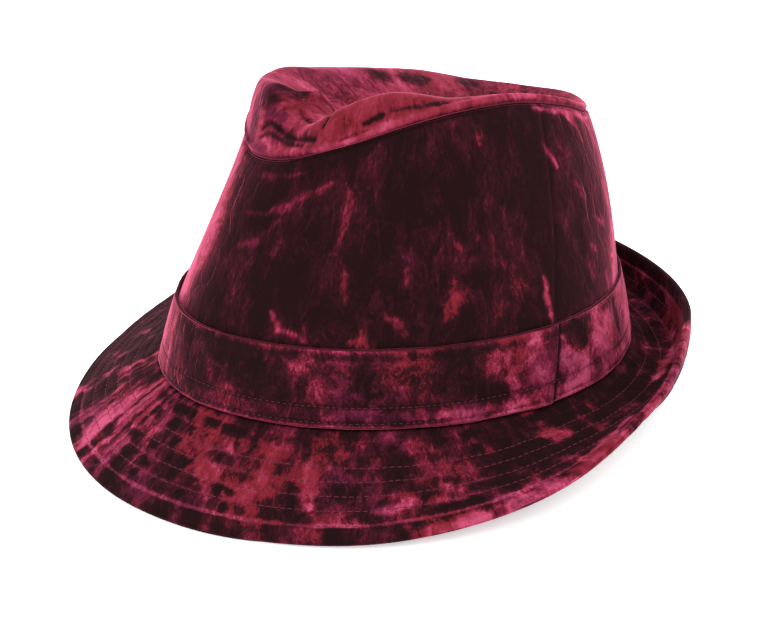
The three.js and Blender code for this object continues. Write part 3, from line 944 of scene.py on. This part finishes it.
def makeBand(style):
    # the wall's lowest part wrapped once round, its last end lapped over the first
    seam = math.radians(hatShape["seamAngle"])
    lapAngle = style["lap"] / style["drum"]
    columns = np.concatenate([seam + np.linspace(-lapAngle, lapAngle, 24, endpoint=False),
                              seam + np.linspace(lapAngle, 2 * np.pi - lapAngle, style["columns"])])
    columns = np.concatenate([columns, seam + 2 * np.pi + np.linspace(-lapAngle, 0, 22)[1:]])
    shares = np.linspace(0, hatShape["headShare"], 46)
    column, share = np.meshgrid(columns, shares)
    theta, base = wallSheet(column, share)
    normal = gridNormals(base, closed=False)
    height = arcAlong(base)
    fromStart = (column - (seam - lapAngle)) * style["drum"]
    fromEnd = (seam + 2 * np.pi - column) * style["drum"]
    rise = style["lapRise"] * np.clip(1.6 - fromEnd / style["lap"], 0, 1)
    under = 0.6 * np.clip(1 - fromStart / style["lap"] / 2, 0, 1)
    lean, creaseShade = 0 * height, 0 * height
    for line in style["stitchLines"]:
        lean -= style["stitchDepth"] * bump(height - line, style["stitchWidth"])
        # painted shade in the stitch grooves
        creaseShade += style["stitchShade"] * bump(height - line, 0.8)
    flow = ringFlow(theta, height, style["drum"])
    mark, warmth, sink = drawStrokes(base, sidePoint, bandStrokes)
    lean += ripples(flow, style, 31, 0.6) - sink
    inwards = np.minimum(np.minimum(fromStart, fromEnd) / style["endTaper"], 1)
    taper = np.sqrt(np.clip(1 - (1 - inwards) ** 2, 0.02, 1))
    thick = (style["outer"] - style["inner"] - under) * taper
    middle = (style["outer"] + style["inner"]) / 2 + rise - under / 2
    outer = base + normal * (middle + thick / 2 + lean * taper)[..., None]
    inner = (base + normal * (middle - thick / 2)[..., None])[::5]
    top = roundEdge(outer[-1], inner[-1], unit(base[-1] - base[-2]), 5)
    foot = roundEdge(inner[0], outer[0], unit(base[0] - base[1]), 3)
    rows = np.concatenate([outer, top, inner[::-1], foot])
    faces = gridFaces(len(rows), len(columns), True, False)
    fromFold = height[-1] - height
    # painted highlight on the folded top edge and painted shade just below it
    mark += style["foldHighlight"] * bump(fromFold - 0.4, 0.8) - style["foldShade"] * bump(fromFold - 3, 1.2)
    mark += style["footLight"] * bump(height, 0.7)
    # painted shadow beside the step of the lapped end, and painted shade on that end
    mark -= style["lapShadow"] * bump(fromStart - style["lap"] - 0.7, 1.0)
    mark -= style["endShade"] * bump(fromEnd, 0.5)
    fields = sheetFields(flow, mark, warmth, creaseShade, len(rows) - len(outer))
    caps, points = [], rows.reshape(-1, 3)
    for column, turn in ((0, 1), (len(columns) - 1, -1)):
        loop = (np.arange(len(rows)) * len(columns) + column)[::turn]
        centre = np.full(len(rows), len(points))
        caps.append(np.stack([loop, np.roll(loop, -1), centre], axis=1))
        points = np.concatenate([points, rows[:, column].mean(0)[None]])
    fields = {label: padRows(values.reshape((-1, 1) + values.shape[2:]), 2)
              for label, values in fields.items()}
    backing = (np.arange(len(rows)) >= len(outer) + 3) & (np.arange(len(rows)) < len(rows) - 2)
    plain = np.concatenate([np.repeat(backing, len(columns) - 1), np.zeros(2 * len(rows), bool)])
    addPiece("hatBand", points, [faces, np.concatenate(caps)], [velvets["bandVelvet"], backingCloth],
             ["hat_band"], fields, plain)
    lines = [lineOnSheet(outer, normal, height, line) for line in style["stitchLines"]]
    spots = [evenSpots(*line, style["stitchPitch"], False) for line in lines]
    addStitches("bandStitches", spots, dict(threadStyle, length=1.9, radius=0.14), 7)


makeBand(bandStyle)

brimStyle = {
    "columns": 900, "underColumns": 700, "drum": 115, "edgeRadius": 1.45,
    "edgeStitch": 7.1, "rowPitch": 6.3, "rowCount": 6, "stitchPitch": 2.8,
    "grooveDepth": 0.24, "grooveWidth": 0.7, "puff": 0.12, "puffWidth": 1.9,
    "pucker": 0.35, "pull": 0.06, "pullWidth": 1.4,
    "spotDark": 0.8, "stitchLight": 0.22, "edgeLight": 0.5, "swirl": 0.85, "streak": 1.1, "cloud": 3.2,
    # radians from the front: most of the quilted look, the fan of streaks and the clouds
    "quiltPlace": 0.5, "fanPlace": -0.05, "cloudPlace": -0.85,
}

# Noises on the brim: millimetres round and across it, layers, a seed, and how far the sway, which
# comes before them, moves the spots.
brimGrains = table("name round across layers seed drift", [
    ("pucker", 5.5, 1, 1, 0, 0),
    ("sway", 7, 7, 3, 3, 0),
    ("fine", 1.8, 1.8, 3, 4, 0),
    ("spot", 3.9, 1, 1, 5, 1.6),
    ("broad", 30, 30, 1, 8, 0),
    ("warmth", 26, 26, 1, 14, 0),
    ("swirl", 9, 14, 3, 17, 5),
    ("streak", 3.2, 40, 3, 21, 0),
    ("cloud", 11, 9, 3, 27, 6),
])


def brimBase(theta, share, style):
    # the upper face, stopping short of the edge by the radius of its rounding
    reach = [readTable(brimRows, "edge" + way, theta) - readTable(brimRows, "bend" + way, theta)
             for way in ("Out", "Up")]
    speed = 2 * np.hypot(*reach)
    return brimPoint(theta, share * (1 - style["edgeRadius"] / speed))


def roundHat(theta, swells):
    # soft swells of light and dark round the hat, in the pile, and at the brim's front painted sheen
    return sum(swell["lift"] * bump(wrapAngle(theta - math.radians(swell["angle"])),
                                    math.radians(swell["spread"])) for swell in swells)


brimSwells = table("angle spread lift", [
    # painted sheen: the front of the brim, where it bends away, is lifted
    (-4, 9, 0.25),
    (-50, 26, -1.05),
    (110, 35, -0.36),
])


def brimNoises(circle, fromEdge, cellPlace, seed):
    # spots and puckers lie in the cells between the stitch rows, the others run across them
    noises = {}
    for grain in brimGrains:
        name = grain["name"]
        across = cellPlace if name in ("pucker", "spot") else fromEdge
        moved = circle + grain["drift"] * noises["sway"][..., None] if grain["drift"] else circle
        points = moved / grain["round"] + stack(0, 0, across / grain["across"])
        noises[name] = layeredNoise(points, seed + grain["seed"], grain["layers"])
    return noises


def quilting(theta, fromEdge, fromBand, style, seed):
    # grooves along the stitch rows, puffed cloth between them and puckers across
    place = (fromEdge - style["edgeStitch"]) / style["rowPitch"]
    away = np.abs(place - np.clip(np.round(place), 0, style["rowCount"])) * style["rowPitch"]
    lean = style["puff"] * (1 - bump(away, style["puffWidth"]))
    lean -= style["grooveDepth"] * bump(away, style["grooveWidth"])
    circle = stack(style["drum"] * np.sin(theta), style["drum"] * np.cos(theta), 0 * theta)
    # cells so far apart in the noise that no two rows are alike
    cell = np.floor(place)
    noises = brimNoises(circle, fromEdge, cell * 3.7 + 0.5, seed)
    lean += style["pucker"] * noises["pucker"] * np.clip(fromEdge / 4, 0, 1)
    pull = np.cos(2 * np.pi * theta * style["drum"] / style["stitchPitch"])
    lean += style["pull"] * pull * bump(away, style["pullWidth"])
    # pile stands dark in spots between the rows and lies light along them
    fan, cloudy = (wrapAngle(theta - style[name]) for name in ("fanPlace", "cloudPlace"))
    within = np.clip(np.sin(np.pi * (place - cell + 0.12 * noises["sway"])), 0, 1) ** 1.2
    quilted = 0.4 + 0.9 * noises["broad"] + 0.7 * bump(wrapAngle(theta - style["quiltPlace"]), 0.5)
    quilted = np.clip(quilted, 0, 1) * (1 - 0.9 * bump(fan, 0.16))
    spots = np.clip(1.5 * noises["spot"] + 0.9 * noises["fine"] + 0.05, 0, 1)
    mark = -style["spotDark"] * spots * within * quilted
    mark += style["stitchLight"] * bump(away, 0.55) * (0.6 + 0.4 * pull) * (0.3 + 0.7 * quilted)
    mark += style["swirl"] * noises["swirl"] * (1 - quilted)
    # the margin outside the last row has larger patches, and its seam is light
    margin = np.clip((style["edgeStitch"] - fromEdge) / 1.5, 0, 1)
    patches = np.clip(1.7 * softNoise(circle / 5 + 4.5, seed + 11) + 0.5 * noises["fine"], -1, 1)
    mark = mark * (1 - margin) + margin * (0.42 * patches - 0.2)
    mark += style["edgeLight"] * bump(fromEdge - style["edgeStitch"], 0.65)
    mark += style["streak"] * noises["streak"] * bump(fan, 0.28)
    far = bump(cloudy, 0.6)
    mark += style["cloud"] * np.clip(noises["cloud"] - 0.02, 0, 0.5) * far
    warmth = 0.12 * noises["warmth"] - 0.16 * far
    return lean * np.clip(fromBand / 3, 0, 1), mark + roundHat(theta, brimSwells), warmth


# Marks on the brim: hundredths of the way from band to edge. The wide light stroke down the front is radial
# pile, lightened with painted sheen where the brim bends away.
brimStrokes = table("path width mark warmth sink", [
    # radial pile at the front, lightened as painted sheen
    ([(1, 5), (-1, 45), (-2, 95)], 7, 0.4, -0.12),
    ([(-12, 25), (-10, 60), (-11, 95)], 2.4, 0.3),
    ([(9, 20), (8, 50), (9, 80)], 1.8, 0.3),
    ([(14, 15), (13, 45), (14, 70)], 1.6, 0.3),
    ([(31, 55), (38, 60), (45, 62)], 9, 0.28, 0.22),
    ([(41, 20), (43, 50)], 5, 0.25, 0.15),
    ([(52, 40), (53, 75)], 3.5, 0.35, 0.15),
    ([(76, 55), (80, 70)], 4.5, 0.45),
    ([(98, 27), (102, 33)], 4.5, 1, 0.05),
    ([(98, 85), (105, 74), (113, 60)], 2.8, 0.9),
    ([(84, 84), (92, 78), (100, 62)], 4, 0.4, -0.05),
    ([(108, 45), (116, 40), (124, 42)], 3.5, 0.5),
    ([(112, 80), (122, 66), (132, 62)], 2.2, 0.8),
    ([(132, 35), (142, 45), (150, 60)], 2.6, 0.9, 0.1),
    ([(150, 95), (158, 80), (168, 88)], 3.5, 0.6, 0.2),
    ([(138, 80), (146, 74), (156, 60)], 3, 0.6, 0.1),
    ([(64, 75), (70, 66), (78, 72)], 2.6, 0.5, -0.1),
    ([(70, 99), (82, 97), (96, 96), (108, 95), (122, 96), (140, 97)], 5, 1.05),
    ([(80, 30), (86, 45), (88, 70)], 6, -0.3),
    ([(148, 10), (150, 40), (146, 70)], 1.5, 0.35, 0, 0.2),
    ([(-30, 40), (-27, 80)], 2.5, 0.5, -0.15),
])


def makePly(name, node, style, columnCount, lower):
    # the brim's curve or its offset below, quilted, with a quarter round at its edge
    columns = roundColumns(columnCount)
    theta, share = np.meshgrid(columns, np.linspace(0, 1, 68))
    base = standing(brimBase(theta, share, style))
    seat = standing(ovalPoint(bandFoot, columns, hatShape["seatWidth"]))[None]
    base, theta = np.concatenate([seat, base]), np.concatenate([theta[:1], theta])
    total = hatShape["plyTotal"]
    base[..., 2] = np.maximum(base[..., 2], total)
    normal = -gridNormals(base)
    normal *= np.sign(normal[..., 2].mean())
    arc = arcAlong(base) - hatShape["seatWidth"]
    radius = style["edgeRadius"]
    fromEdge = arc[-1] - arc + radius
    lean, mark, warmth = quilting(theta, fromEdge, arc, style, 47 if lower else 41)
    strokes = drawStrokes(base, brimPoint, brimStrokes)
    mark, warmth, lean = mark + strokes[0], warmth + strokes[1], lean - strokes[2]
    tangent = unit(base[-1] - base[-2])
    if lower:
        base = base - normal * total
        normal = -normal
    outer = base + normal * lean[..., None]
    centre = base[-1] - normal[-1] * radius
    turns = np.linspace(0, np.pi / 2, 6)[1:]
    edge = np.stack([centre + (tangent * np.sin(a) + normal[-1] * np.cos(a)) * radius for a in turns])
    inner = (base - normal * (radius - 0.1))[::6]
    rows = np.concatenate([outer, edge, inner[::-1]])
    if lower:
        rows[..., 2] = np.maximum(rows[..., 2], 0)
    faces = gridFaces(len(rows), columnCount, True, True)
    if not lower:
        faces = faces[:, ::-1]
    arc = np.concatenate([arc, arc[-1] + np.linspace(0.5, 2.2, len(edge))[:, None]])
    flow = ringFlow(np.concatenate([theta, theta[:len(edge)]]), arc, style["drum"])
    mark = np.concatenate([mark, np.repeat(mark[-1:], len(edge), axis=0)])
    fields = sheetFields(flow, mark, padRows(warmth, len(edge)), 0 * arc, len(rows) - len(flow))
    addPiece(name, rows, [faces], [velvets["brimVelvet"]], [node], fields)
    # only the rows that fit on the brim all round have stitches
    lines = style["edgeStitch"] + style["rowPitch"] * np.arange(style["rowCount"] + 1)
    lines = [line for line in lines if fromEdge[0].min() - hatShape["seatWidth"] > line + 1.5]
    marks = [lineOnSheet(outer[::-1], normal[::-1], fromEdge[::-1], line) for line in lines]
    spots = [evenSpots(*places, style["stitchPitch"], True) for places in marks]
    addStitches(name + "Stitches", spots, threadStyle, 17 if lower else 13)


makePly("brimUpper", "brim_upper", brimStyle, brimStyle["columns"], False)
makePly("brimUnder", "brim_under", brimStyle, brimStyle["underColumns"], True)

print("sizes are written")
